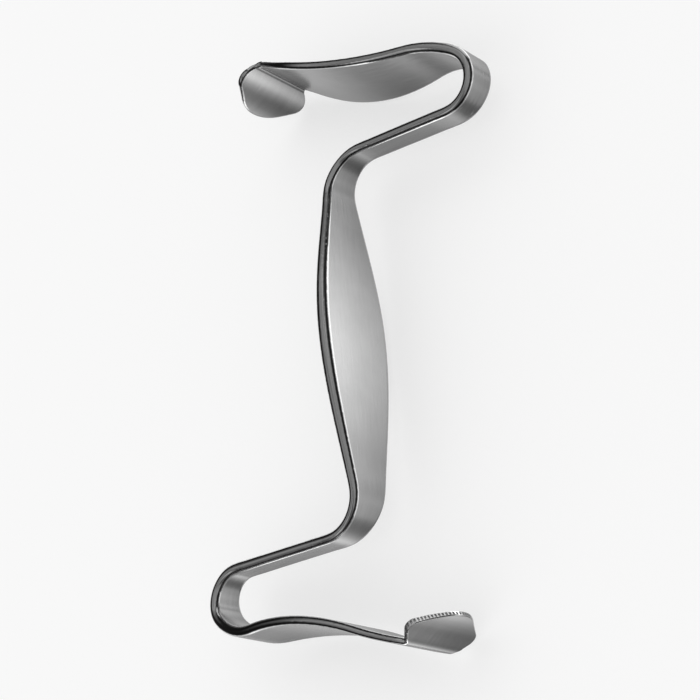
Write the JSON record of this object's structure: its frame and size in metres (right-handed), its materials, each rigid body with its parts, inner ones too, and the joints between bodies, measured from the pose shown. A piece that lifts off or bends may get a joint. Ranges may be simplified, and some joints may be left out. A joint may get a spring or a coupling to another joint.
{
  "type": "surgical retractor",
  "caption": "S-shaped hand retractor bent from steel strip: leaf-shaped handle, looped hooks ending in broad blades with bent, rounded lips, the lower lip toothed.",
  "frame": {"origin": "centre of the bounding box in X and Y, on the surface it lies on", "axes": "+Z along the width of the strip, up from the surface the retractor lies on; the bends are in the XY plane, +Y from the toothed end to the plain end, +X toward the outside of the plain end's loop"},
  "size_m": [0.1283, 0.1912, 0.0332],
  "materials": {
    "steel": "satin stainless steel with brighter polished edges"
  },
  "bodies": {
    "root": {"retractor": "steel"}
  },
  "joints": []
}
